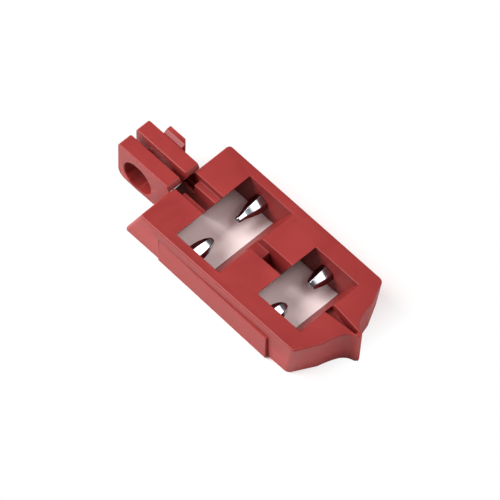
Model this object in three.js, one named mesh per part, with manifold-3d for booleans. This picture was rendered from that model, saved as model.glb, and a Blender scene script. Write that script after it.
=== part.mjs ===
// Pocket edge tuning tool: a red moulded body with two raked windows, four hexagonal steel pins
// that point into the windows, and a sprung fork with a pivot hole.
// Millimetres. +X runs from the fork to the nose, +Y across, +Z up. The underside is at z = 0, and
// the origin is under the middle of the whole length.
import * as THREE from "three";
import { mergeVertices } from "three/addons/utils/BufferGeometryUtils.js";
import Module from "manifold-3d";

const wasm = await Module();
wasm.setup();

// ---- driving dimensions -----------------------------------------------------------------
// x is measured from the top of the body's raked end, y from the centre line, z from the underside.
const BODY_HEIGHT = 15;
const BODY_WIDTH = 37.2;
const SHOULDER_X = 66; // where the straight sides end
const NOSE_REACH = 10.6; // from the shoulder to the tip of the nose
const NOSE_HALF_WIDTH = 1.1;
const NOSE_UNDERCUT = { tip: 0.9, corner: 2.6 }; // the nose end draws in towards the underside
const RAKE_DEG = 25; // the fork end and the window walls lean back towards the fork
const END_CORNER_R = 1.3;

const WINDOW_1 = { x: 12.4, length: 18.8, wall: 3.4 }; // wall is the side wall left beside it
const WINDOW_2 = { x: 44.4, length: 18.7, wall: 6.6 };
const WALL_LEAN = 2; // the nose-side wall of a window leans this much further at the underside

// From the fork to window 1: right through in the middle, with a shelf on each side, and a deeper
// mouth where it meets the fork.
const SLOT_1 = { width: 3.8, shelf: 2.3, shelfDepth: 2.5, mouth: 2, mouthDepth: 7 };
const SLOT_2_WIDTH = 4.8; // between the windows
const SLOT_2_DEPTH = 10;
const LEDGE_LENGTH = 3.2;
const LEDGE_DEPTH = 4.2;
const NOSE_GROOVE = { width: 3.7, depth: 3.4, endWidth: 1.2, endDepth: 5.5, endGap: 1.6 };

const PIN_Z = 6.6; // also the parting plane of the two body halves
const PIN_ACROSS_CORNERS = 5.6;
const PIN_TIP_Y = 4.9;
const PIN_HEAD = { across: 7.2, thickness: 0.8 };
const SEAT_GAP = 0.12;

// A cover stands proudest at its lower corner by the nose, and less by its taper towards the fork
// and by its lean towards the top.
const COVER = { x: 8.1, length: 47.7, height: 10.2, proud: 1.2, taper: 0.75, lean: 0.35, inset: 1 };
const COVER_LIFT = 0.3;
const COVER_GAP = 0.1;

const ARM_REACH = 22.8; // from the body's end to the arm tips
const ARM_RISE = 1.5; // the arms stand this far above the body
const ARM_LIFT = 0.2; // and this far clear of what the body rests on
const ARM_THICKNESS = 5.3;
const ARM_SPLIT = 2.2;
const ARM_STEP = 1.1; // the raised arm tops stop this far short of the body
const ARM_GAP = 0.3;
const ARM_TIP_R = 3.4;
const ARM_EDGE = 0.9;
const PIVOT_HOLE_R = 5.9;
const PIVOT_HOLE_X = -14.2;
const PIVOT_HOLE_Z = 6.6;
const TONGUE = { neck: 2.6, head: 2.2, neckHeight: 4.4, headHeight: 7.6 };

const CATCH = { x: -16.4, length: 8, proud: 3.1, height: 5, lip: 0.3, dip: 1, slope: 1.5, ramp: 1.4 };

const SCREW = { shankR: 1, headR: 1.9, length: 10, tip: 1, gap: 0.12, sunk: 0.2 };

const RED = 0xa83a38;
const STEEL = 0xc9ccd0;
const ZINC = 0xb7b9bb;

// ---- sizes that follow ------------------------------------------------------------------
const HALF_WIDTH = BODY_WIDTH / 2;
const NOSE_X = SHOULDER_X + NOSE_REACH;
const RAKE = Math.tan(THREE.MathUtils.degToRad(RAKE_DEG));
const ARM_OUTER = ARM_SPLIT / 2 + ARM_THICKNESS;
const SLOT_1_HALF = SLOT_1.width / 2 + SLOT_1.shelf;
const RECESS_WALL = (SLOT_1.width / 2 + SLOT_1_HALF) / 2; // an arm's recess starts here
const BEYOND = 5; // how far a cutting tool runs past the face that it cuts
const rakeShift = (z) => RAKE * (z - BODY_HEIGHT);
const halfWidthOf = (opening) => HALF_WIDTH - opening.wall;

// ---- solids -----------------------------------------------------------------------------
function solid(geometry) {
  const open = geometry.index ? geometry.toNonIndexed() : geometry.clone();
  open.deleteAttribute("normal");
  open.deleteAttribute("uv");
  const merged = mergeVertices(open, 1e-4);
  return new wasm.Manifold(
    new wasm.Mesh({
      numProp: 3,
      vertProperties: merged.attributes.position.array,
      triVerts: new Uint32Array(merged.index.array),
    }),
  );
}

function surface(body) {
  const mesh = body.getMesh();
  const geometry = new THREE.BufferGeometry();
  geometry.setAttribute("position", new THREE.BufferAttribute(mesh.vertProperties, 3));
  geometry.setIndex(new THREE.BufferAttribute(mesh.triVerts, 1));
  geometry.computeVertexNormals();
  return geometry;
}

function outline(points) {
  return new THREE.Shape(points.map(([u, v]) => new THREE.Vector2(u, v)));
}

// A plan outline (x, y) raised from z0 to z1.
function plate(shape, z0, z1) {
  const settings = { depth: z1 - z0, bevelEnabled: false, curveSegments: 6 };
  return new THREE.ExtrudeGeometry(shape, settings).translate(0, 0, z0);
}

// A side outline (x, z) carried across from y0 to y1.
function slab(shape, y0, y1) {
  const settings = { depth: y1 - y0, bevelEnabled: false, curveSegments: 16 };
  return new THREE.ExtrudeGeometry(shape, settings).rotateX(Math.PI / 2).translate(0, y1, 0);
}

function block(x0, x1, y0, y1, z0, z1) {
  return new THREE.BoxGeometry(x1 - x0, y1 - y0, z1 - z0).translate(
    (x0 + x1) / 2,
    (y0 + y1) / 2,
    (z0 + z1) / 2,
  );
}

// Leans a geometry back by the rake, with the top of the body as the level that stays in place.
function raked(geometry) {
  const lean = new THREE.Matrix4().makeShear(0, 0, 0, 0, RAKE, 0);
  return geometry.translate(0, 0, -BODY_HEIGHT).applyMatrix4(lean).translate(0, 0, BODY_HEIGHT);
}

// ---- body -------------------------------------------------------------------------------
// Half of the nose end, from the shoulder to the tip: a rounded corner, a flat, and a hollow
// that sweeps out to the nose.
const NOSE_CURVE = (side) => ({
  corner: [[SHOULDER_X + 1, side * HALF_WIDTH], [SHOULDER_X + 1.7, side * HALF_WIDTH * 0.935]],
  flat: [SHOULDER_X + 4.8, side * HALF_WIDTH * 0.56],
  hollow: [
    [SHOULDER_X + 6.2, side * HALF_WIDTH * 0.2],
    [NOSE_X - 3.6, side * NOSE_HALF_WIDTH * 1.7],
    [NOSE_X - 0.5, side * NOSE_HALF_WIDTH],
  ],
});

function noseOutline() {
  const left = -ARM_REACH;
  const front = NOSE_CURVE(-1);
  const rear = NOSE_CURVE(1);
  const shape = new THREE.Shape();
  shape.moveTo(left, -HALF_WIDTH);
  shape.lineTo(SHOULDER_X, -HALF_WIDTH);
  shape.quadraticCurveTo(...front.corner[0], ...front.corner[1]);
  shape.lineTo(...front.flat);
  shape.bezierCurveTo(...front.hollow[0], ...front.hollow[1], ...front.hollow[2]);
  shape.quadraticCurveTo(NOSE_X, -NOSE_HALF_WIDTH * 0.6, NOSE_X, 0);
  shape.quadraticCurveTo(NOSE_X, NOSE_HALF_WIDTH * 0.6, ...rear.hollow[2]);
  shape.bezierCurveTo(...rear.hollow[1], ...rear.hollow[0], ...rear.flat);
  shape.lineTo(...rear.corner[1]);
  shape.quadraticCurveTo(...rear.corner[0], SHOULDER_X, HALF_WIDTH);
  shape.lineTo(left, HALF_WIDTH);
  return shape;
}

function rakedEndOutline() {
  const r = END_CORNER_R;
  const far = NOSE_X + rakeShift(0) * -1 + BEYOND;
  const shape = new THREE.Shape();
  shape.moveTo(far, -HALF_WIDTH);
  shape.lineTo(far, HALF_WIDTH);
  shape.lineTo(r, HALF_WIDTH);
  shape.absarc(r, HALF_WIDTH - r, r, Math.PI / 2, Math.PI, false);
  shape.lineTo(0, r - HALF_WIDTH);
  shape.absarc(r, r - HALF_WIDTH, r, Math.PI, Math.PI * 1.5, false);
  return shape;
}

// Where the two raked walls of a window stand at height z.
function windowWalls(opening, z) {
  const forkSide = opening.x + rakeShift(z);
  const lean = (WALL_LEAN * (z - BODY_HEIGHT)) / BODY_HEIGHT;
  return [forkSide, forkSide + opening.length + lean];
}

function windowTool(opening) {
  const [low0, low1] = windowWalls(opening, -BEYOND);
  const [top0, top1] = windowWalls(opening, BODY_HEIGHT + BEYOND);
  const side = outline([
    [low0, -BEYOND],
    [low1, -BEYOND],
    [top1, BODY_HEIGHT + BEYOND],
    [top0, BODY_HEIGHT + BEYOND],
  ]);
  return solid(slab(side, -halfWidthOf(opening), halfWidthOf(opening)));
}

function slotTools() {
  const half1 = SLOT_1.width / 2;
  const half2 = SLOT_2_WIDTH / 2;
  const end1 = WINDOW_1.x + 1;
  const shelf = BODY_HEIGHT - SLOT_1.shelfDepth;
  const start2 = WINDOW_1.x + WINDOW_1.length + rakeShift(0);
  const end2 = WINDOW_2.x + 1;
  const ledgeEnd = WINDOW_1.x + WINDOW_1.length + LEDGE_LENGTH;
  const top = BODY_HEIGHT + BEYOND;
  const through = solid(block(-ARM_REACH, end1, -half1, half1, -BEYOND, top));
  const wide = solid(block(-ARM_REACH, end1, -SLOT_1_HALF, SLOT_1_HALF, shelf, top));
  const deep = BODY_HEIGHT - SLOT_1.mouthDepth;
  const mouth = solid(block(-ARM_REACH, SLOT_1.mouth, -SLOT_1_HALF, SLOT_1_HALF, deep, top));
  const slot1 = through.add(wide).add(mouth);
  const slot2 = solid(block(ledgeEnd, end2, -half2, half2, BODY_HEIGHT - SLOT_2_DEPTH, top));
  const ledge = solid(block(start2, ledgeEnd + 1, -half2, half2, BODY_HEIGHT - LEDGE_DEPTH, top));
  return slot1.add(slot2).add(ledge);
}

// The groove in the nose narrows and deepens towards the tip.
function grooveTool() {
  const { width, depth, endWidth, endDepth, endGap } = NOSE_GROOVE;
  const x0 = WINDOW_2.x + WINDOW_2.length - 1;
  const x1 = NOSE_X - endGap;
  const plan = outline([
    [x0, -width / 2],
    [x1, -endWidth / 2],
    [x1, endWidth / 2],
    [x0, width / 2],
  ]);
  const side = outline([
    [x0 - 1, BODY_HEIGHT - depth],
    [x1, BODY_HEIGHT - endDepth],
    [x1 + 1, BODY_HEIGHT + BEYOND],
    [x0 - 1, BODY_HEIGHT + BEYOND],
  ]);
  const tall = solid(plate(plan, 0, BODY_HEIGHT + BEYOND));
  return tall.intersect(solid(slab(side, -width, width)));
}

function pinX(opening) {
  const [forkSide, noseSide] = windowWalls(opening, PIN_Z);
  return (forkSide + noseSide) / 2;
}

// A hexagonal pin along +Y, with one flat leaning by the rake. Rings are [distance, radius].
function hexPin(rings) {
  const profile = rings.map(([along, radius]) => new THREE.Vector2(radius, along));
  const turn = Math.PI / 6 + THREE.MathUtils.degToRad(RAKE_DEG);
  return new THREE.LatheGeometry(profile, 6).rotateY(turn);
}

// The room for a pin and its head, from the window out to the side.
function seatTool(opening, side) {
  const r = PIN_ACROSS_CORNERS / 2 + SEAT_GAP;
  const headR = PIN_HEAD.across / 2 + SEAT_GAP;
  const face = HALF_WIDTH - COVER.inset;
  const shoulder = face - PIN_HEAD.thickness - SEAT_GAP;
  const seat = hexPin([
    [halfWidthOf(opening) - 1, 0],
    [halfWidthOf(opening) - 1, r],
    [shoulder, r],
    [shoulder, headR],
    [face + BEYOND, headR],
    [face + BEYOND, 0],
  ]);
  return solid(placePin(seat, opening, side));
}

function placePin(geometry, opening, side) {
  if (side < 0) geometry.rotateZ(Math.PI);
  return geometry.translate(pinX(opening), 0, PIN_Z);
}

function coverTool(side) {
  const inner = HALF_WIDTH - COVER.inset;
  const y = [side * inner, side * (HALF_WIDTH + BEYOND)].sort((a, b) => a - b);
  return solid(block(COVER.x, COVER.x + COVER.length, ...y, -BEYOND, COVER.height));
}

// Side outline of an arm's root inside the body: a neck and a taller head that locks it in.
function tongueOutline(gap, start) {
  const neckEnd = TONGUE.neck;
  const neck = TONGUE.neckHeight / 2 + gap;
  const head = TONGUE.headHeight / 2 + gap;
  return outline([
    [start, PIN_Z - neck],
    [neckEnd - gap, PIN_Z - neck],
    [neckEnd - gap, PIN_Z - head],
    [neckEnd + TONGUE.head + gap, PIN_Z - head],
    [neckEnd + TONGUE.head + gap, PIN_Z + head],
    [neckEnd - gap, PIN_Z + head],
    [neckEnd - gap, PIN_Z + neck],
    [start, PIN_Z + neck],
  ]);
}

// The recess that an arm's tongue lies in.
function armRecessTool(side) {
  const y = [side * (ARM_OUTER + ARM_GAP), side * RECESS_WALL].sort((a, b) => a - b);
  return solid(slab(tongueOutline(ARM_GAP, rakeShift(0)), ...y));
}

// A countersunk screw from the underside, pointing up.
function screwProfile(gap) {
  const { shankR, headR, length, tip, sunk } = SCREW;
  const low = gap ? -BEYOND : sunk;
  const points = [
    [0, low],
    [headR + gap, low],
    [headR + gap, sunk + 0.2],
    [shankR + gap, headR - shankR + sunk + 0.2],
    [shankR + gap, length - tip],
    [gap ? shankR + gap : shankR / 3, length + gap],
    [0, length + gap],
  ];
  const profile = points.map(([r, z]) => new THREE.Vector2(r, z));
  return new THREE.LatheGeometry(profile, 16).rotateX(Math.PI / 2);
}

// A pair of screws at the fork, one between the windows and one beside the nose's window.
function screwSites() {
  const middle = (a, b) => (a + b) / 2;
  const [fork1, nose1] = [windowWalls(WINDOW_1, 0)[0], windowWalls(WINDOW_1, SCREW.length)[1]];
  const [fork2, nose2] = windowWalls(WINDOW_2, 0);
  const side = HALF_WIDTH - COVER.inset;
  const places = [
    { x: middle(rakeShift(SCREW.length), fork1), y: middle(ARM_OUTER + ARM_GAP, side) },
    { x: middle(nose1, fork2), y: middle(SLOT_2_WIDTH / 2, side) },
    { x: middle(nose2, SHOULDER_X), y: middle(halfWidthOf(WINDOW_2), side) },
  ];
  return places.flatMap(({ x, y }, i) => [
    { name: `body_screw_${2 * i + 1}`, x, y: -y },
    { name: `body_screw_${2 * i + 2}`, x, y },
  ]);
}

// The nose end draws in towards the underside, most at the corners and least at the tip.
function drawnIn(geometry) {
  const place = geometry.attributes.position;
  for (let i = 0; i < place.count; i++) {
    if (place.getZ(i) > BODY_HEIGHT / 2) continue;
    const across = Math.sqrt(Math.abs(place.getY(i)) / HALF_WIDTH);
    const { tip, corner } = NOSE_UNDERCUT;
    place.setX(i, place.getX(i) - tip - (corner - tip) * across);
  }
  return geometry;
}

function bodyBlank() {
  let body = solid(drawnIn(plate(noseOutline(), 0, BODY_HEIGHT)));
  body = body.intersect(solid(raked(plate(rakedEndOutline(), 0, BODY_HEIGHT))));
  const tools = [slotTools(), grooveTool()];
  for (const opening of [WINDOW_1, WINDOW_2]) {
    tools.push(windowTool(opening));
    tools.push(seatTool(opening, -1), seatTool(opening, 1));
  }
  for (const side of [-1, 1]) tools.push(coverTool(side), armRecessTool(side));
  for (const site of screwSites()) {
    tools.push(solid(screwProfile(SCREW.gap).translate(site.x, site.y, 0)));
  }
  for (const tool of tools) body = body.subtract(tool);
  return body;
}

function bodyHalves() {
  const wide = NOSE_X + BEYOND;
  const low = solid(block(-wide, wide, -wide, wide, -BEYOND, PIN_Z));
  const whole = bodyBlank();
  return { lower: whole.intersect(low), upper: whole.subtract(low) };
}

// ---- fork arms --------------------------------------------------------------------------
function armOutline() {
  const top = BODY_HEIGHT + ARM_RISE;
  const tip = -ARM_REACH;
  const rest = ARM_LIFT;
  const behind = (z) => rakeShift(z) - ARM_GAP;
  const shape = new THREE.Shape();
  shape.moveTo(behind(rest), rest);
  shape.lineTo(behind(BODY_HEIGHT), BODY_HEIGHT);
  shape.lineTo(-ARM_STEP, top);
  shape.lineTo(tip + ARM_EDGE, top);
  shape.lineTo(tip, top - ARM_EDGE);
  shape.lineTo(tip, rest + ARM_TIP_R);
  shape.absarc(tip + ARM_TIP_R, rest + ARM_TIP_R, ARM_TIP_R, Math.PI, Math.PI * 1.5, false);
  const hole = new THREE.Path();
  hole.absarc(PIVOT_HOLE_X, PIVOT_HOLE_Z, PIVOT_HOLE_R, 0, Math.PI * 2, true);
  shape.holes.push(hole);
  return shape;
}

function arm(side) {
  const across = (a, b) => [side * a, side * b].sort((p, q) => p - q);
  const leaf = solid(slab(armOutline(), ...across(ARM_SPLIT / 2, ARM_OUTER)));
  const root = tongueOutline(0, rakeShift(PIN_Z) - ARM_GAP - 2);
  return leaf.add(solid(slab(root, ...across(RECESS_WALL + ARM_GAP, ARM_OUTER))));
}

// The snap catch on the rear arm's outer side: a lip that rises away from the arm, with a ramp
// on the side towards the body.
function catchBlock() {
  const armTop = BODY_HEIGHT + ARM_RISE;
  const out = ARM_OUTER + CATCH.proud;
  const x1 = CATCH.x + CATCH.length;
  const section = outline([
    [ARM_OUTER - 1, armTop - CATCH.height],
    [out, armTop - CATCH.height + CATCH.ramp],
    [out, armTop + CATCH.lip],
    [ARM_OUTER + CATCH.slope, armTop + CATCH.lip],
    [ARM_OUTER, armTop - CATCH.dip],
    [ARM_OUTER - 1, armTop - CATCH.dip],
  ]);
  const plan = outline([
    [CATCH.x, 0],
    [x1, 0],
    [x1, out - CATCH.ramp],
    [x1 - CATCH.ramp, out + 1],
    [CATCH.x, out + 1],
  ]);
  const settings = { depth: CATCH.length, bevelEnabled: false };
  const bar = new THREE.ExtrudeGeometry(section, settings);
  bar.rotateX(Math.PI / 2).rotateZ(Math.PI / 2).translate(CATCH.x, 0, 0);
  return solid(bar).intersect(solid(plate(plan, 0, armTop + BEYOND)));
}

// ---- pins -------------------------------------------------------------------------------
const PIN_R = PIN_ACROSS_CORNERS / 2;
// Each tip is a list of [distance from the point, radius]; every pin ends at the same head.
const PIN_TIPS = {
  neck_pin: [[0, 0.55], [0.3, 1], [2.4, 1.25], [4.6, 1.9], [6.8, 2.6], [7.8, PIN_R]],
  bullet_pin: [[0, 0.8], [0.35, 1.15], [1.6, 1.75], [3.6, 2.4], [6, PIN_R]],
  blunt_pin: [[0, 1.1], [0.5, 1.65], [2.6, 2.3], [4.4, PIN_R]],
  short_pin: [[0, 0.95], [0.5, 1.5], [1.8, 2.2], [3.4, 2.7], [4, PIN_R]],
};

function pin(tip, opening, side) {
  const face = HALF_WIDTH - COVER.inset - SEAT_GAP;
  const neck = face - PIN_HEAD.thickness;
  const rings = [[PIN_TIP_Y, 0]];
  for (const [back, radius] of tip) rings.push([PIN_TIP_Y + back, radius]);
  rings.push([neck, PIN_R], [neck, PIN_HEAD.across / 2], [face, PIN_HEAD.across / 2], [face, 0]);
  return placePin(hexPin(rings), opening, side);
}

// ---- covers -----------------------------------------------------------------------------
function cover(side) {
  const inner = HALF_WIDTH - COVER.inset + COVER_GAP;
  const y = [side * inner, side * (HALF_WIDTH + COVER.proud)].sort((a, b) => a - b);
  const x0 = COVER.x + COVER_GAP;
  const x1 = COVER.x + COVER.length - COVER_GAP;
  const strip = block(x0, x1, ...y, COVER_LIFT, COVER.height - COVER_GAP);
  const place = strip.attributes.position;
  for (let i = 0; i < place.count; i++) {
    if (Math.abs(place.getY(i)) < HALF_WIDTH) continue;
    const less =
      (place.getX(i) < (x0 + x1) / 2 ? COVER.taper : 0) +
      (place.getZ(i) > COVER.height / 2 ? COVER.lean : 0);
    place.setY(i, place.getY(i) - side * less);
  }
  return strip;
}

// ---- assembly ---------------------------------------------------------------------------
const finish = {
  plastic: () => new THREE.MeshStandardMaterial({ color: RED, roughness: 0.55, metalness: 0 }),
  steel: () => new THREE.MeshStandardMaterial({ color: STEEL, roughness: 0.15, metalness: 1 }),
  zinc: () => new THREE.MeshStandardMaterial({ color: ZINC, roughness: 0.35, metalness: 1 }),
};

function piece(name, geometry, material) {
  const mesh = new THREE.Mesh(geometry, material());
  mesh.name = name;
  return mesh;
}

const halves = bodyHalves();
const body = new THREE.Group();
body.add(piece("upper_body", surface(halves.upper), finish.plastic));
body.add(piece("lower_body", surface(halves.lower), finish.plastic));
body.add(piece("front_cover", cover(-1), finish.plastic));
body.add(piece("rear_cover", cover(1), finish.plastic));
body.add(piece("neck_pin", pin(PIN_TIPS.neck_pin, WINDOW_1, 1), finish.steel));
body.add(piece("bullet_pin", pin(PIN_TIPS.bullet_pin, WINDOW_1, -1), finish.steel));
body.add(piece("blunt_pin", pin(PIN_TIPS.blunt_pin, WINDOW_2, 1), finish.steel));
body.add(piece("short_pin", pin(PIN_TIPS.short_pin, WINDOW_2, -1), finish.steel));
for (const site of screwSites()) {
  const screw = piece(site.name, screwProfile(0), finish.zinc);
  screw.position.set(site.x, site.y, 0);
  body.add(screw);
}

const fork = new THREE.Group();
fork.add(piece("front_arm", surface(arm(-1)), finish.plastic));
fork.add(piece("rear_arm", surface(arm(1).add(catchBlock())), finish.plastic));

const tool = new THREE.Group();
tool.add(body, fork);
tool.position.x = (ARM_REACH - NOSE_X) / 2;

const part = new THREE.Group();
part.add(tool);
export default part;
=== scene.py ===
import math

import bmesh
import bpy
from mathutils import Matrix, Vector


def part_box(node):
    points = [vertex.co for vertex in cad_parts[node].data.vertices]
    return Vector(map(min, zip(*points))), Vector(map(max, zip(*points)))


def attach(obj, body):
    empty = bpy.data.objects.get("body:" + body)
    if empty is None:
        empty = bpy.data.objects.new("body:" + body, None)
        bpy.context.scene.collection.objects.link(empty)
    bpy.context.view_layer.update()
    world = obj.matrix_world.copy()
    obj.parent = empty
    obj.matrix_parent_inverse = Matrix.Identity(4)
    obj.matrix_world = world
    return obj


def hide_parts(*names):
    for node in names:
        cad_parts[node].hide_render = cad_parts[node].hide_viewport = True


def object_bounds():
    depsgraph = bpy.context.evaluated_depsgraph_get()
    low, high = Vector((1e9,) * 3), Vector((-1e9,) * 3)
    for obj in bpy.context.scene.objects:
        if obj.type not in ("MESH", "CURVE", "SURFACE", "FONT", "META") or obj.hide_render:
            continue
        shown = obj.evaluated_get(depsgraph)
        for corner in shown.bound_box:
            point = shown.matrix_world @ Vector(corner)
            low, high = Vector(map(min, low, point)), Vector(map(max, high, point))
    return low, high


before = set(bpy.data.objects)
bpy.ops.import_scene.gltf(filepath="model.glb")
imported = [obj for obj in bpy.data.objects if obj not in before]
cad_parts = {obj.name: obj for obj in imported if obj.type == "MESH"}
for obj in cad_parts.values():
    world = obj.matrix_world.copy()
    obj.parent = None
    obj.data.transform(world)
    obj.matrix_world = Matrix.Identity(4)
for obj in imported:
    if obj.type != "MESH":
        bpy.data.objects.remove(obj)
cad_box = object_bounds()

# ---- The room ---------------------------------------------------------------------------
# The tool lies on a warm white table under a large soft lamp at its front left. A lamp overhead is
# what the steel pins mirror, and a low one past the nose fills the far end. A long lens looks down
# on it all from the nose's front corner.
MM = 0.001
AZIMUTH = math.radians(46.6)
ELEVATION = math.radians(57)
LENS = 1500
SENSOR = 36
FIELD = 150 * MM
AIM = Vector((1.08, 0.38, 7.34)) * MM

scene = bpy.context.scene
scene.view_settings.view_transform = "Standard"

back = Vector(
    (
        math.sin(AZIMUTH) * math.cos(ELEVATION),
        -math.cos(AZIMUTH) * math.cos(ELEVATION),
        math.sin(ELEVATION),
    )
)
lens = bpy.data.cameras.new("camera")
lens.lens = LENS
lens.sensor_width = SENSOR
camera = bpy.data.objects.new("camera", lens)
scene.collection.objects.link(camera)
camera.location = AIM + back * (FIELD * LENS / SENSOR)
camera.rotation_euler = back.to_track_quat("Z", "Y").to_euler()
scene.camera = camera


LAMP_DISTANCE = 0.9


def soft_lamp(name, direction, size, power):
    """A rectangular lamp aimed at the tool, with its longer side running across the tool."""
    data = bpy.data.lights.new(name, "AREA")
    data.shape = "RECTANGLE"
    data.size, data.size_y = size
    data.energy = power
    lamp = bpy.data.objects.new(name, data)
    scene.collection.objects.link(lamp)
    away = Vector(direction).normalized()
    lamp.location = AIM + away * LAMP_DISTANCE
    along = (Vector((0, 1, 0)) - away * away.y).normalized()
    lamp.rotation_euler = Matrix((along.cross(away), along, away)).transposed().to_euler()


soft_lamp("key_lamp", (-0.8, -0.72, 1.05), (0.7, 0.7), 16)
soft_lamp("pin_lamp", (0.39, 0.36, 0.84), (0.26, 0.95), 3.4)
soft_lamp("nose_lamp", (0.85, 0.6, 0.3), (0.4, 0.4), 2.5)

SKY_TINT = (1, 0.84, 0.82, 1)
SKY_STRENGTH = 0.22
world = bpy.data.worlds.new("studio")
world.use_nodes = True
sky = world.node_tree.nodes["Background"]
sky.inputs["Color"].default_value = SKY_TINT
sky.inputs["Strength"].default_value = SKY_STRENGTH
scene.world = world

TABLE_SIZE = 4
TABLE_DROP = 0.02 * MM  # the table's top lies this far under the tool
TABLE_TONE = (0.93, 0.8, 0.79, 1)
table_mesh = bpy.data.meshes.new("table")
table_grid = bmesh.new()
bmesh.ops.create_grid(table_grid, x_segments=8, y_segments=8, size=TABLE_SIZE / 2)
table_grid.to_mesh(table_mesh)
table_grid.free()
table = bpy.data.objects.new("table", table_mesh)
scene.collection.objects.link(table)
table.location.z = cad_box[0][2] - TABLE_DROP
table_white = bpy.data.materials.new("table_white")
table_white.use_nodes = True
table_shader = table_white.node_tree.nodes["Principled BSDF"]
table_shader.inputs["Base Color"].default_value = TABLE_TONE
table_shader.inputs["Roughness"].default_value = 0.8
table_mesh.materials.append(table_white)

# Seen by the camera, the table glows white over a short distance from the body: painted light, an
# emission that washes out the tool's cast shadows there, for camera rays only.
BODY_MIDDLE = (3.5 * MM, 0, 0)
BODY_HALF = (30.5 * MM, 19.8 * MM, 1)
GLOW_REACH = 14 * MM
GLOW_START = 0.45  # the share of painted white glow right beside the body
table_nodes = table_white.node_tree.nodes
table_links = table_white.node_tree.links
table_place = table_nodes.new("ShaderNodeTexCoord")
distance_steps = (
    ("SUBTRACT", BODY_MIDDLE),
    ("ABSOLUTE", None),
    ("SUBTRACT", BODY_HALF),
    ("MAXIMUM", (0, 0, 0)),
    ("LENGTH", None),
)
last = table_place.outputs["Object"]
for operation, value in distance_steps:
    step = table_nodes.new("ShaderNodeVectorMath")
    step.operation = operation
    table_links.new(last, step.inputs[0])
    if value:
        step.inputs[1].default_value = value
    last = step.outputs["Value" if operation == "LENGTH" else "Vector"]
glow_ramp = table_nodes.new("ShaderNodeMapRange")
glow_ramp.inputs["From Min"].default_value = 0.02 * MM
glow_ramp.inputs["From Max"].default_value = GLOW_REACH
glow_ramp.inputs["To Min"].default_value = GLOW_START
glow_ramp.inputs["To Max"].default_value = 1
table_links.new(last, glow_ramp.inputs["Value"])
outside = table_nodes.new("ShaderNodeMath")
outside.operation = "GREATER_THAN"
outside.inputs[1].default_value = 0.01 * MM
table_links.new(last, outside.inputs[0])
looked_at = table_nodes.new("ShaderNodeLightPath").outputs["Is Camera Ray"]
share = glow_ramp.outputs["Result"]
for factor in (outside.outputs["Value"], looked_at):
    product = table_nodes.new("ShaderNodeMath")
    product.operation = "MULTIPLY"
    table_links.new(share, product.inputs[0])
    table_links.new(factor, product.inputs[1])
    share = product.outputs["Value"]
# Painted light: this emission makes the table glow white where the mask reaches, hiding the tool's
# shadows.
white = table_nodes.new("ShaderNodeEmission")
white.inputs["Strength"].default_value = 1
blend = table_nodes.new("ShaderNodeMixShader")
table_links.new(share, blend.inputs["Fac"])
table_links.new(table_shader.outputs["BSDF"], blend.inputs[1])
table_links.new(white.outputs["Emission"], blend.inputs[2])
table_links.new(blend.outputs["Shader"], table_nodes["Material Output"].inputs["Surface"])

# ---- Body halves ------------------------------------------------------------------------
# The block is moulded in red glass-filled nylon as an upper and a lower half, which meet on the
# pins' axis. Two windows whose walls lean back towards the fork run through it, with slots that
# join them to the fork and to each other, and a groove that narrows into the pointed nose.
HEIGHT = 15
HALF_WIDTH = 18.6
SHOULDER = 66
NOSE = 76.6
NOSE_HALF_WIDTH = 1.1
NOSE_DRAW_IN = (0.9, 2.6)  # at the tip and at the corners, from the top to the underside
RAKE = math.tan(math.radians(25))
WINDOWS = ((12.4, 31.2, 15.2), (44.4, 63.1, 12))  # fork side, nose side and half width at the top
WALL_LEAN = 2
SLOT_1_HALF = 1.9
SHELF_1_HALF = 4.2
SHELF_1_Z = 12.5
MOUTH_1_END = 2
MOUTH_1_Z = 8
RECESS_WALL = 3.05  # the arms' recesses run from here
RECESS_OUTER = 6.7  # to here
SLOT_2_HALF = 2.4
SLOT_2_FLOOR = 5
LEDGE_END = 34.4
LEDGE_FLOOR = 10.8
GROOVE = ((62.1, 1.85, 3.4), (75, 0.6, 5.5))  # x, half width and depth at its two ends
PIN_Z = 6.6  # also where the halves part
PIN_R = 2.8
PIN_TURN = -25  # a flat faces up and leans towards the nose
SEAT_GAP = 0.12
END_R = 1.3
SHOULDER_R = 2.2
PAST = 5  # how far a cutting tool runs past the face that it cuts
COVER_X = (8.1, 55.8)
COVER_TOP = 10.2
COVER_INSET = 1
HEAD_POCKET = 1.4  # from a side face to the bottom of a seat

ARM_REACH = 22.8
BODY_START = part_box("front_arm")[0].x / MM + ARM_REACH  # the top of the raked end


def place(x, y, z):
    """A point measured from the top of the raked end, as a point of the frame in millimetres."""
    return Vector((BODY_START + x, y, z))


def arc(centre, radius, start, end, steps):
    """Points of a round stretch, from one angle to another in degrees."""
    turns = [math.radians(start + (end - start) * i / steps) for i in range(steps + 1)]
    return [(centre[0] + radius * math.cos(t), centre[1] + radius * math.sin(t)) for t in turns]


def bezier(a, b, c, d, steps):
    """Points of a curve from a to d, drawn towards b and c on the way."""
    points = []
    for i in range(steps + 1):
        t = i / steps
        shares = ((1 - t) ** 3, 3 * t * (1 - t) ** 2, 3 * t * t * (1 - t), t**3)
        points.append(tuple(sum(s * p[k] for s, p in zip(shares, (a, b, c, d))) for k in (0, 1)))
    return points


def loft(name, rings):
    """A closed solid over rings of the same number of points, with a flat face at each end."""
    mesh = bmesh.new()
    rows = [[mesh.verts.new(point) for point in ring] for ring in rings]
    count = len(rows[0])
    for low, high in zip(rows, rows[1:]):
        for i in range(count):
            j = (i + 1) % count
            mesh.faces.new((low[i], low[j], high[j], high[i]))
    mesh.faces.new(rows[0][::-1])
    mesh.faces.new(rows[-1])
    bmesh.ops.recalc_face_normals(mesh, faces=mesh.faces)
    data = bpy.data.meshes.new(name)
    mesh.to_mesh(data)
    mesh.free()
    piece = bpy.data.objects.new(name, data)
    scene.collection.objects.link(piece)
    return piece


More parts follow.
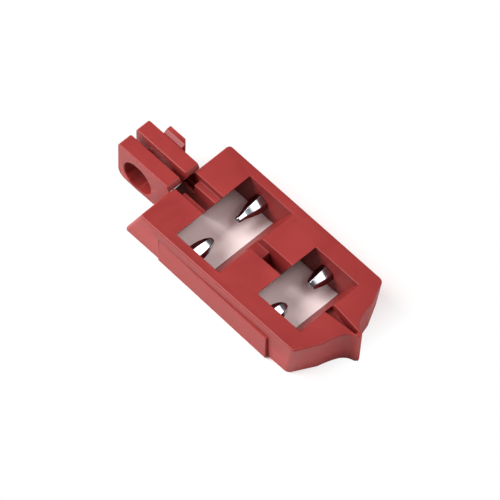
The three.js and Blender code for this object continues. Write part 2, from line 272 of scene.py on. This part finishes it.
def upright(name, outline, z0, z1, lean=0.0):
    """A plan outline (x, y) raised from z0 to z1, leaning back from its place at the top face."""
    rings = []
    for z in (z0, z1):
        shift = lean * (z - HEIGHT)
        rings.append([place(x + shift, y, z) for x, y in outline])
    return loft(name, rings)


def across(name, outline, y0, y1):
    """A side outline (x, z) carried across from y0 to y1."""
    return loft(name, [[place(x, y, z) for x, z in outline] for y in (y0, y1)])


def bake(piece):
    """Turns a piece's modifiers into its mesh."""
    depsgraph = bpy.context.evaluated_depsgraph_get()
    made = bpy.data.meshes.new_from_object(piece.evaluated_get(depsgraph))
    old = piece.data
    piece.modifiers.clear()
    piece.data = made
    bpy.data.meshes.remove(old)
    return piece


def combine(piece, tools, operation="DIFFERENCE", solver="EXACT"):
    """Cuts the tools out of a piece, or joins them to it, and clears the tools away."""
    for tool in tools:
        step = piece.modifiers.new("cut", "BOOLEAN")
        step.operation = operation
        step.solver = solver
        step.object = tool
        bake(piece)
        bpy.data.objects.remove(tool)
    return piece


def round_edges(piece, width, segments, angle):
    """Rounds the edges that turn by more than an angle in degrees."""
    step = piece.modifiers.new("round", "BEVEL")
    step.width = width
    step.segments = segments
    step.limit_method = "ANGLE"
    step.angle_limit = math.radians(angle)
    step.use_clamp_overlap = False
    step.miter_outer = "MITER_ARC"
    return bake(piece)


def finish_surface(piece, material, angle=50):
    """Brings a piece to metres, with smooth shading that keeps flats flat and creases sharp."""
    data = piece.data
    data.materials.clear()
    data.materials.append(material)
    mesh = bmesh.new()
    mesh.from_mesh(data)
    bmesh.ops.remove_doubles(mesh, verts=mesh.verts, dist=0.002)
    bmesh.ops.dissolve_degenerate(mesh, edges=mesh.edges, dist=0.002)
    bmesh.ops.scale(mesh, vec=(MM, MM, MM), verts=mesh.verts)
    for face in mesh.faces:
        face.smooth = True
    for edge in mesh.edges:
        turn = edge.calc_face_angle(0)
        edge.smooth = turn < math.radians(angle)
    mesh.to_mesh(data)
    mesh.free()
    weights = piece.modifiers.new("flats", "WEIGHTED_NORMAL")
    weights.keep_sharp = True
    weights.weight = 80
    return piece


def moulded_red(name, seed):
    """Red moulded nylon: a fine sparked grain, faint flow marks and a painted highlight that pales
    the convex edges.
    """
    material = bpy.data.materials.new(name)
    material.use_nodes = True
    nodes = material.node_tree.nodes
    links = material.node_tree.links
    shader = nodes["Principled BSDF"]
    where = nodes.new("ShaderNodeTexCoord")
    shift = nodes.new("ShaderNodeMapping")
    shift.inputs["Location"].default_value = (seed, seed * 0.7, seed * 0.3)
    links.new(where.outputs["Object"], shift.inputs["Vector"])

    def noise(scale, detail, roughness=0.5, distortion=0.0):
        node = nodes.new("ShaderNodeTexNoise")
        node.inputs["Scale"].default_value = scale
        node.inputs["Detail"].default_value = detail
        node.inputs["Roughness"].default_value = roughness
        node.inputs["Distortion"].default_value = distortion
        links.new(shift.outputs["Vector"], node.inputs["Vector"])
        return node

    def ramp(source, stops):
        node = nodes.new("ShaderNodeValToRGB")
        node.color_ramp.elements[0].position = stops[0][0]
        node.color_ramp.elements[0].color = stops[0][1]
        node.color_ramp.elements[1].position = stops[1][0]
        node.color_ramp.elements[1].color = stops[1][1]
        links.new(source, node.inputs["Fac"])
        return node

    def mix(fac, a, b, kind="MIX"):
        node = nodes.new("ShaderNodeMix")
        node.data_type = "RGBA"
        node.blend_type = kind
        if isinstance(fac, float):
            node.inputs["Factor"].default_value = fac
        else:
            links.new(fac, node.inputs["Factor"])
        links.new(a, node.inputs["A"])
        links.new(b, node.inputs["B"])
        return node.outputs["Result"]

    flow = noise(70, 4, 0.55, 1.2)
    flow_stops = ((0.3, (0.19, 0.0125, 0.0115, 1)), (0.7, (0.225, 0.0165, 0.015, 1)))
    tone = ramp(flow.outputs["Fac"], flow_stops)
    speck = noise(3200, 2, 0.6)
    grain = ramp(speck.outputs["Fac"], ((0.35, (0.93, 0.9, 0.9, 1)), (0.65, (1.0, 1.0, 1.0, 1))))
    base = mix(1.0, tone.outputs["Color"], grain.outputs["Color"], "MULTIPLY")
    # Painted highlight: convex edges, picked out by pointiness, are mixed towards a paler red to
    # stand in for the light caught along the rounded edges.
    edge_shape = nodes.new("ShaderNodeNewGeometry")
    painted_edge_highlight = ramp(edge_shape.outputs["Pointiness"], ((0.515, (0, 0, 0, 1)), (0.6, (0.45, 0.45, 0.45, 1))))
    highlight_red = nodes.new("ShaderNodeRGB")
    highlight_red.outputs["Color"].default_value = (0.42, 0.05, 0.045, 1)
    links.new(mix(painted_edge_highlight.outputs["Color"], base, highlight_red.outputs["Color"]), shader.inputs["Base Color"])

    gloss = nodes.new("ShaderNodeMapRange")
    gloss.inputs["To Min"].default_value = 0.4
    gloss.inputs["To Max"].default_value = 0.54
    links.new(flow.outputs["Fac"], gloss.inputs["Value"])
    links.new(gloss.outputs["Result"], shader.inputs["Roughness"])

    fine = nodes.new("ShaderNodeBump")
    fine.inputs["Strength"].default_value = 0.25
    fine.inputs["Distance"].default_value = 0.03 * MM
    links.new(speck.outputs["Fac"], fine.inputs["Height"])
    sink = nodes.new("ShaderNodeBump")
    sink.inputs["Strength"].default_value = 0.2
    sink.inputs["Distance"].default_value = 0.25 * MM
    links.new(flow.outputs["Fac"], sink.inputs["Height"])
    links.new(sink.outputs["Normal"], fine.inputs["Normal"])
    links.new(fine.outputs["Normal"], shader.inputs["Normal"])
    shader.inputs["Specular IOR Level"].default_value = 0.38
    return material


def nose_half(side):
    """The nose end's outline from the side to the tip: a small corner, a flat and a hollow."""
    corner = arc((SHOULDER - 0.6, HALF_WIDTH - SHOULDER_R), SHOULDER_R, 90, 25, 7)
    flat_end = (SHOULDER + 4.8, HALF_WIDTH * 0.56)
    hollow = bezier(
        flat_end,
        (SHOULDER + 6.2, HALF_WIDTH * 0.2),
        (NOSE - 3.6, NOSE_HALF_WIDTH * 1.7),
        (NOSE - 0.5, NOSE_HALF_WIDTH),
        14,
    )
    tip = bezier(
        (NOSE - 0.5, NOSE_HALF_WIDTH),
        (NOSE - 0.15, NOSE_HALF_WIDTH * 0.8),
        (NOSE, NOSE_HALF_WIDTH * 0.4),
        (NOSE, 0),
        4,
    )
    return [(x, side * y) for x, y in corner + hollow + tip[1:]]


def body_blank():
    """The whole block before anything is cut out of it, with its nose end drawn in underneath."""
    rear = nose_half(1)
    front = nose_half(-1)[-2::-1]
    far = -ARM_REACH
    plan = [(far, HALF_WIDTH)] + rear + front + [(far, -HALF_WIDTH)]
    tip_draw, corner_draw = NOSE_DRAW_IN
    rings = []
    for z in (0, HEIGHT):
        drawn = 1 - z / HEIGHT
        ring = []
        for x, y in plan:
            share = math.sqrt(abs(y) / HALF_WIDTH)
            ring.append(place(x - drawn * (tip_draw + (corner_draw - tip_draw) * share), y, z))
        rings.append(ring)
    block = loft("body", rings)
    raked = arc((END_R, HALF_WIDTH - END_R), END_R, 90, 180, 8)
    raked += [(x, -y) for x, y in raked[::-1]]
    wide = HALF_WIDTH + PAST
    outside = [(-2 * ARM_REACH, -wide), (END_R, -wide), (END_R, -HALF_WIDTH)]
    outside += [(x, y) for x, y in raked[::-1]][1:]
    outside += [(END_R, wide), (-2 * ARM_REACH, wide)]
    end_tool = upright("end_tool", outside, -PAST, HEIGHT + PAST, RAKE)
    return combine(block, [end_tool])


def window_tool(window):
    """A window, with its fork side leaning by the rake and its nose side a little more."""
    fork_side, nose_side, half = window
    outline = []
    for z in (-PAST, HEIGHT + PAST):
        outline.append((fork_side + RAKE * (z - HEIGHT), z))
        outline.append((nose_side + (RAKE + WALL_LEAN / HEIGHT) * (z - HEIGHT), z))
    low_fork, low_nose, top_fork, top_nose = outline
    return across("window", [low_fork, low_nose, top_nose, top_fork], -half, half)


def block_tool(x0, x1, half, z0, z1):
    """A straight slot along the middle of the tool."""
    return across("slot", [(x0, z0), (x1, z0), (x1, z1), (x0, z1)], -half, half)


def groove_tool():
    """The groove that runs from the second window into the nose."""
    rings = []
    for x, half, depth in GROOVE:
        over = HEIGHT + PAST
        sides = [(-half, HEIGHT - depth), (half, HEIGHT - depth), (half, over), (-half, over)]
        rings.append([place(x, y, z) for y, z in sides])
    return loft("groove", rings)


def pin_x(window):
    """Where a window's pins stand: midway between its walls at their own height."""
    fork_side, nose_side, _ = window
    down = PIN_Z - HEIGHT
    return (fork_side + nose_side) / 2 + down * (RAKE + WALL_LEAN / HEIGHT / 2)


def hexagon(radius, turn_deg):
    """Corners (x, z) of a hexagon, turned from having a flat on top."""
    corners = [math.radians(60 * i + turn_deg) for i in range(6)]
    return [(radius * math.cos(t), radius * math.sin(t)) for t in corners]


def seat_tool(window, side):
    """The hexagonal seat of a pin, from its window to the pocket behind the cover."""
    middle = pin_x(window)
    corners = [(middle + x, PIN_Z + z) for x, z in hexagon(PIN_R + SEAT_GAP, PIN_TURN)]
    half = window[2]
    return across("seat", corners, *sorted((side * (half - 1), side * (HALF_WIDTH - HEAD_POCKET))))


def recess_tool(side):
    """The T-shaped recess that an arm's tongue lies in."""
    neck, head = 2.5, 4.1
    neck_end, head_end = 2.3, 5.1
    outline = [(RAKE * -HEIGHT, -neck), (neck_end, -neck), (neck_end, -head), (head_end, -head)]
    outline += [(x, -z) for x, z in outline[::-1]]
    outline = [(x, PIN_Z + z) for x, z in outline]
    return across("recess", outline, *sorted((side * RECESS_OUTER, side * RECESS_WALL)))


def cover_tool(side):
    """The shallow recess that a side cover lies in, open underneath."""
    low, high = COVER_X
    outline = [(low, -PAST), (high, -PAST), (high, COVER_TOP), (low, COVER_TOP)]
    inner, outer = HALF_WIDTH - COVER_INSET, HALF_WIDTH + PAST
    return across("cover_recess", outline, *sorted((side * inner, side * outer)))


SCREW_X_Y = ((1.53, 12.15), (32.78, 10), (60.05, 14.8))
SCREW_HEAD_R = 1.9
SCREW_SHANK_R = 1.0
SINK_R = SCREW_HEAD_R + 0.22
SHANK_HOLE_R = SCREW_SHANK_R + 0.12


def countersink_tool(x, y):
    """The countersink and the start of the hole for one screw, from underneath."""
    rings = []
    for z, radius in ((-1, SINK_R), (0.35, SINK_R), (1.35, SHANK_HOLE_R), (3, SHANK_HOLE_R)):
        rings.append([place(x + u, y + v, z) for u, v in arc((0, 0), radius, 0, 345, 23)])
    return loft("countersink", rings)


EJECTOR_MARKS = ((3.4, 8.2), (33, 14.4), (64, 7.5))
EJECTOR_R = 1.5
RAKE_SET_BACK = 6.5  # the underside lies this much nearer to the fork than the top
EJECTOR_DEPTH = 0.15


def ejector_tool(x, y):
    """The shallow round witness that an ejector leaves in the underside."""
    ring = arc((x - RAKE_SET_BACK, y), EJECTOR_R, 0, 345, 23)
    return upright("ejector", ring, -1, EJECTOR_DEPTH)


OUTER_ROUND = 0.6  # on the outer edges
CUT_ROUND = 0.22  # on the edges of windows, slots and recesses

body = body_blank()
round_edges(body, OUTER_ROUND, 4, 55)
tools = [window_tool(window) for window in WINDOWS]
slot_end = WINDOWS[0][0] + 1
tools.append(block_tool(-ARM_REACH, slot_end, SLOT_1_HALF, -PAST, HEIGHT + PAST))
tools.append(block_tool(MOUTH_1_END - 1, slot_end, SHELF_1_HALF, SHELF_1_Z, HEIGHT + PAST))
tools.append(block_tool(-ARM_REACH, MOUTH_1_END, SHELF_1_HALF, MOUTH_1_Z, HEIGHT + PAST))
tools.append(block_tool(LEDGE_END, WINDOWS[1][0] + 1, SLOT_2_HALF, SLOT_2_FLOOR, HEIGHT + PAST))
ledge_start = WINDOWS[0][1] - HEIGHT * RAKE
tools.append(block_tool(ledge_start, LEDGE_END + 0.5, SLOT_2_HALF, LEDGE_FLOOR, HEIGHT + PAST))
tools.append(groove_tool())
for side in (-1, 1):
    tools += [cover_tool(side), recess_tool(side)]
    tools += [seat_tool(window, side) for window in WINDOWS]
    tools += [countersink_tool(x, side * y) for x, y in SCREW_X_Y]
    tools += [ejector_tool(x, side * y) for x, y in EJECTOR_MARKS]
combine(body, tools)
round_edges(body, CUT_ROUND, 2, 38)

red_body = moulded_red("red_body_nylon", 0.0)


def half_of(whole, name, keep_upper):
    """The block above or below the parting, closed flat there and no deeper than the block."""
    mesh = bmesh.new()
    mesh.from_mesh(whole.data)
    everything = mesh.verts[:] + mesh.edges[:] + mesh.faces[:]
    cut = bmesh.ops.bisect_plane(
        mesh,
        geom=everything,
        plane_co=place(0, 0, PIN_Z),
        plane_no=(0, 0, 1),
        clear_inner=keep_upper,
        clear_outer=not keep_upper,
    )
    rim = [e for e in cut["geom_cut"] if isinstance(e, bmesh.types.BMEdge)]
    bmesh.ops.triangle_fill(mesh, edges=rim, use_beauty=True, use_dissolve=True)
    for vert in mesh.verts:
        vert.co.z = min(max(vert.co.z, 0), HEIGHT)
    bmesh.ops.recalc_face_normals(mesh, faces=mesh.faces)
    data = bpy.data.meshes.new(name)
    mesh.to_mesh(data)
    mesh.free()
    piece = bpy.data.objects.new(name, data)
    scene.collection.objects.link(piece)
    return piece


for node, keep_upper in (("upper_body", True), ("lower_body", False)):
    shell = half_of(body, node + "_moulding", keep_upper)
    finish_surface(shell, red_body)
    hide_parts(node)
    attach(shell, "body")
bpy.data.objects.remove(body)

# ---- Side covers ------------------------------------------------------------------------
# A moulded strip in a shallow recess on each side hides and holds the outer ends of the pins. It
# stands a little proud, most along its foot and at the end by the nose.
COVER_PROUD = 1.2  # at the lower corner by the nose
COVER_TAPER = 0.75  # this much less towards the fork
COVER_LEAN = 0.35  # and this much less towards the top
COVER_GAP = 0.1
COVER_FOOT = 0.3
COVER_ROUND = 0.28

red_cover = moulded_red("red_cover_nylon", 0.31)


def cover_strip(name, side):
    """One cover: flat inside, with an outer face that slants towards its top and the fork."""
    low, high = COVER_X[0] + COVER_GAP, COVER_X[1] - COVER_GAP
    foot, top = COVER_FOOT, COVER_TOP - COVER_GAP
    inner = HALF_WIDTH - COVER_INSET + COVER_GAP
    corners = ((low, foot), (high, foot), (high, top), (low, top))
    inside = [place(x, side * inner, z) for x, z in corners]
    outside = []
    for x, z in corners:
        less = (COVER_TAPER if x == low else 0) + (COVER_LEAN if z == top else 0)
        outside.append(place(x, side * (HALF_WIDTH + COVER_PROUD - less), z))
    strip = loft(name, [inside, outside])
    return round_edges(strip, COVER_ROUND, 3, 40)


for node, side in (("front_cover", -1), ("rear_cover", 1)):
    strip = cover_strip(node + "_strip", side)
    finish_surface(strip, red_cover)
    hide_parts(node)
    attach(strip, "body")

# ---- Fork arms --------------------------------------------------------------------------
# Two springy arms of the same red nylon stand a little above the block, with a narrow slit between
# them and one round hole through both. A T-shaped tongue at each root is trapped in the block, and
# the rear arm carries a snap catch with a lip.
ARM_TOP = HEIGHT + 1.5
ARM_FOOT = 0.2
ARM_INNER = 1.1
ARM_OUTER = 6.4
ARM_STEP = 1.1
ARM_ROUND = 0.4
ARM_GAP = 0.2
ROOT_SLANT = 0.14  # the root closes up to the body by this much at its outer side
ARM_TIP_R = 3.4
ARM_TOP_R = 1.1
HOLE = (-14.2, 6.6, 5.9)
CATCH_X = (-16.4, -8.4)
CATCH_OUT = ARM_OUTER + 3.1
CATCH_LIP = 0.3
CATCH_DIP = 1.0
CATCH_SLOPE = 1.5
CATCH_RAMP = 1.4
CATCH_HEIGHT = 5
CATCH_ROUND = 0.22

red_arm = moulded_red("red_arm_nylon", 0.62)


ROOT_INSET = 0.04
ROOT_THICKNESS = 0.5
ROOT_Z = (1, HEIGHT - 0.3)


def arm_blank(name, side):
    """An arm with its hole, rounded all over but for a sharp root face that closes up to the body."""
    tip = -ARM_REACH

    def behind(z):
        return RAKE * (z - HEIGHT) - ARM_GAP

    outline = [(behind(ARM_FOOT), ARM_FOOT), (behind(HEIGHT), HEIGHT), (-ARM_STEP, ARM_TOP)]
    outline += arc((tip + ARM_TOP_R, ARM_TOP - ARM_TOP_R), ARM_TOP_R, 90, 180, 5)
    outline += arc((tip + ARM_TIP_R, ARM_FOOT + ARM_TIP_R), ARM_TIP_R, 180, 270, 9)
    leaf = across(name, outline, *sorted((side * ARM_INNER, side * ARM_OUTER)))
    x, z, radius = HOLE
    ring = arc((x, z), radius, 0, 354, 59)
    combine(leaf, [across("hole", ring, -HALF_WIDTH, HALF_WIDTH)])
    round_edges(leaf, ARM_ROUND, 3, 38)
    low, high = ROOT_Z
    rings = []
    for y, closer in ((ARM_INNER + ROOT_INSET, 0), (ARM_OUTER - ROOT_INSET, ROOT_SLANT)):
        root = ((-ROOT_THICKNESS, low), (closer, low), (closer, high), (-ROOT_THICKNESS, high))
        rings.append([place(behind(z) + x, side * y, z) for x, z in root])
    return combine(leaf, [loft("root", rings)], "UNION")


TONGUE_SIDES = (RECESS_WALL + 0.35, ARM_OUTER - 0.05)
TONGUE_ROUND = 0.15


def tongue(side):
    """The T-shaped tongue that holds an arm in its recess."""
    neck, head = 2.2, 3.8
    neck_end, head_end = 2.6, 4.8
    start = RAKE * (PIN_Z - HEIGHT) - 2
    outline = [(start, -neck), (neck_end, -neck), (neck_end, -head), (head_end, -head)]
    outline += [(x, -z) for x, z in outline[::-1]]
    outline = [(x, PIN_Z + z) for x, z in outline]
    key = across("tongue", outline, *sorted(side * y for y in TONGUE_SIDES))
    return round_edges(key, TONGUE_ROUND, 2, 40)


def snap_catch():
    """The rear arm's catch: a bar with a raised lip and a ramp at its end by the body."""
    section = [
        (ARM_OUTER - 1, ARM_TOP - CATCH_HEIGHT),
        (CATCH_OUT, ARM_TOP - CATCH_HEIGHT + CATCH_RAMP),
        (CATCH_OUT, ARM_TOP + CATCH_LIP),
        (ARM_OUTER + CATCH_SLOPE, ARM_TOP + CATCH_LIP),
        (ARM_OUTER - 0.2, ARM_TOP - CATCH_DIP),
        (ARM_OUTER - 1, ARM_TOP - CATCH_DIP),
    ]
    bar = loft("catch", [[place(x, y, z) for y, z in section] for x in CATCH_X])
    end = CATCH_X[1]
    ramp = [
        (end - CATCH_RAMP, CATCH_OUT),
        (end, CATCH_OUT - CATCH_RAMP),
        (end + 1, CATCH_OUT - CATCH_RAMP),
        (end + 1, CATCH_OUT + 1),
        (end - CATCH_RAMP, CATCH_OUT + 1),
    ]
    combine(bar, [upright("ramp", ramp, 0, ARM_TOP + PAST)])
    return round_edges(bar, CATCH_ROUND, 3, 35)


for node, side in (("front_arm", -1), ("rear_arm", 1)):
    leaf = arm_blank(node + "_leaf", side)
    combine(leaf, [tongue(side)], "UNION")
    if side > 0:
        combine(leaf, [snap_catch()], "UNION", "FAST")
    finish_surface(leaf, red_arm)
    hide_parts(node)
    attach(leaf, node)

# ---- Steel pins -------------------------------------------------------------------------
# Four bright hexagonal pins of hardened steel, ground to four different points. Each stands in a
# hexagonal seat in a side wall with one flat facing up, and a wider head locks it under the cover.
PIN_TIP_Y = 4.9
PIN_HEAD_R = 3.6
PIN_HEAD = 0.8
PIN_ROUND = 0.14
# Each point is ground to its own profile: distances back from its tip, with the radius at each.
PIN_POINTS = {
    "neck_pin": (
        (0, 0.55), (0.12, 0.85), (0.35, 1.05), (1.2, 1.12), (2.4, 1.3),
        (3.5, 1.6), (4.6, 1.98), (5.8, 2.36), (6.9, 2.64), (7.8, 2.8),
    ),
    "bullet_pin": (
        (0, 0.75), (0.12, 1.0), (0.35, 1.2), (0.9, 1.48), (1.6, 1.8),
        (2.6, 2.16), (3.6, 2.42), (4.8, 2.66), (6, 2.8),
    ),
    "blunt_pin": (
        (0, 1.15), (0.15, 1.45), (0.45, 1.68), (1.4, 2.0), (2.6, 2.34), (3.5, 2.6), (4.4, 2.8),
    ),
    "short_pin": (
        (0, 0.9), (0.15, 1.2), (0.45, 1.48), (1.0, 1.84), (1.8, 2.2),
        (2.6, 2.5), (3.4, 2.71), (4.1, 2.8),
    ),
}


def polished_steel(name):
    """Hardened steel, ground and polished: faint cross grinding and a few dull patches."""
    material = bpy.data.materials.new(name)
    material.use_nodes = True
    nodes = material.node_tree.nodes
    links = material.node_tree.links
    shader = nodes["Principled BSDF"]
    shader.inputs["Metallic"].default_value = 1
    where = nodes.new("ShaderNodeTexCoord")
    stretch = nodes.new("ShaderNodeMapping")
    stretch.inputs["Scale"].default_value = (0.15, 1, 0.15)
    links.new(where.outputs["Object"], stretch.inputs["Vector"])
    lines = nodes.new("ShaderNodeTexNoise")
    lines.inputs["Scale"].default_value = 9000
    lines.inputs["Detail"].default_value = 3
    links.new(stretch.outputs["Vector"], lines.inputs["Vector"])
    patches = nodes.new("ShaderNodeTexNoise")
    patches.inputs["Scale"].default_value = 500
    patches.inputs["Detail"].default_value = 3
    links.new(where.outputs["Object"], patches.inputs["Vector"])
    tone = nodes.new("ShaderNodeValToRGB")
    tone.color_ramp.elements[0].color = (0.33, 0.36, 0.4, 1)
    tone.color_ramp.elements[1].color = (0.4, 0.43, 0.46, 1)
    links.new(patches.outputs["Fac"], tone.inputs["Fac"])
    links.new(tone.outputs["Color"], shader.inputs["Base Color"])
    gloss = nodes.new("ShaderNodeMapRange")
    gloss.inputs["To Min"].default_value = 0.06
    gloss.inputs["To Max"].default_value = 0.2
    links.new(patches.outputs["Fac"], gloss.inputs["Value"])
    links.new(gloss.outputs["Result"], shader.inputs["Roughness"])
    scratch = nodes.new("ShaderNodeBump")
    scratch.inputs["Strength"].default_value = 0.12
    scratch.inputs["Distance"].default_value = 0.01 * MM
    links.new(lines.outputs["Fac"], scratch.inputs["Height"])
    links.new(scratch.outputs["Normal"], shader.inputs["Normal"])
    return material


pin_steel = polished_steel("polished_pin_steel")


def hex_pin(name, window, side):
    """A pin in its seat: the ground point, the hexagonal shank and the wider head."""
    face = HALF_WIDTH - COVER_INSET - SEAT_GAP
    neck = face - PIN_HEAD
    stations = [(PIN_TIP_Y + back_off, radius) for back_off, radius in PIN_POINTS[name]]
    stations += [(neck, PIN_R), (neck, PIN_HEAD_R), (face, PIN_HEAD_R)]
    middle = pin_x(window)
    rings = []
    for along, radius in stations:
        corners = hexagon(radius, PIN_TURN)
        rings.append([place(middle + x, side * along, PIN_Z + z) for x, z in corners])
    shaft = loft(name + "_steel", rings)
    round_edges(shaft, PIN_ROUND, 3, 34)
    return finish_surface(shaft, pin_steel, 60)


PIN_SEATS = (
    ("neck_pin", WINDOWS[0], 1),
    ("bullet_pin", WINDOWS[0], -1),
    ("blunt_pin", WINDOWS[1], 1),
    ("short_pin", WINDOWS[1], -1),
)
for node, window, side in PIN_SEATS:
    shaft = hex_pin(node, window, side)
    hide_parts(node)
    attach(shaft, "body")

# ---- Body screws ------------------------------------------------------------------------
# Six zinc plated, countersunk, self-cutting screws with a cross recess hold the halves together
# from the underside.
SCREW_SUNK = 0.2
SCREW_LENGTH = 10
SCREW_TIP = 1
SCREW_ROUND = 0.06
CROSS_ARM = 1.05  # the drive's arms, from the middle
CROSS_HALF = 0.26
CROSS_DEPTH = 1.1


def zinc_plate(name):
    """Blue-white zinc plating: satin, with cloudy patches."""
    material = bpy.data.materials.new(name)
    material.use_nodes = True
    nodes = material.node_tree.nodes
    links = material.node_tree.links
    shader = nodes["Principled BSDF"]
    shader.inputs["Metallic"].default_value = 1
    where = nodes.new("ShaderNodeTexCoord")
    cloud = nodes.new("ShaderNodeTexNoise")
    cloud.inputs["Scale"].default_value = 900
    cloud.inputs["Detail"].default_value = 5
    links.new(where.outputs["Object"], cloud.inputs["Vector"])
    tone = nodes.new("ShaderNodeValToRGB")
    tone.color_ramp.elements[0].color = (0.42, 0.43, 0.44, 1)
    tone.color_ramp.elements[1].color = (0.66, 0.67, 0.66, 1)
    links.new(cloud.outputs["Fac"], tone.inputs["Fac"])
    links.new(tone.outputs["Color"], shader.inputs["Base Color"])
    gloss = nodes.new("ShaderNodeMapRange")
    gloss.inputs["To Min"].default_value = 0.25
    gloss.inputs["To Max"].default_value = 0.42
    links.new(cloud.outputs["Fac"], gloss.inputs["Value"])
    links.new(gloss.outputs["Result"], shader.inputs["Roughness"])
    pitted = nodes.new("ShaderNodeBump")
    pitted.inputs["Strength"].default_value = 0.15
    pitted.inputs["Distance"].default_value = 0.02 * MM
    links.new(cloud.outputs["Fac"], pitted.inputs["Height"])
    links.new(pitted.outputs["Normal"], shader.inputs["Normal"])
    return material


screw_zinc = zinc_plate("zinc_plate")


def body_screw(name, x, y):
    """One screw, head down, with its tapered cross recess."""
    sizes = (
        (SCREW_SUNK, SCREW_HEAD_R),
        (SCREW_SUNK + 0.2, SCREW_HEAD_R),
        (SCREW_SUNK + 0.2 + SCREW_HEAD_R - SCREW_SHANK_R, SCREW_SHANK_R),
        (SCREW_LENGTH - SCREW_TIP, SCREW_SHANK_R),
        (SCREW_LENGTH, SCREW_SHANK_R / 3),
    )
    rings = []
    for z, radius in sizes:
        rings.append([place(x + u, y + v, z) for u, v in arc((0, 0), radius, 0, 350, 35)])
    screw = loft(name + "_zinc", rings)
    long, thin = CROSS_ARM, CROSS_HALF
    cross = [(long, -thin), (long, thin), (thin, thin), (thin, long), (-thin, long), (-thin, thin)]
    cross += [(-u, -v) for u, v in cross]
    drive = []
    for z, taper in ((-0.5, 1), (CROSS_DEPTH, 0.75)):
        drive.append([place(x + u * taper, y + v * taper, z) for u, v in cross])
    combine(screw, [loft("drive", drive)])
    round_edges(screw, SCREW_ROUND, 2, 40)
    return finish_surface(screw, screw_zinc, 50)


number = 1
for x, y in SCREW_X_Y:
    for side in (-1, 1):
        node = f"body_screw_{number}"
        screw = body_screw(node, x, side * y)
        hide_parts(node)
        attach(screw, "body")
        number += 1
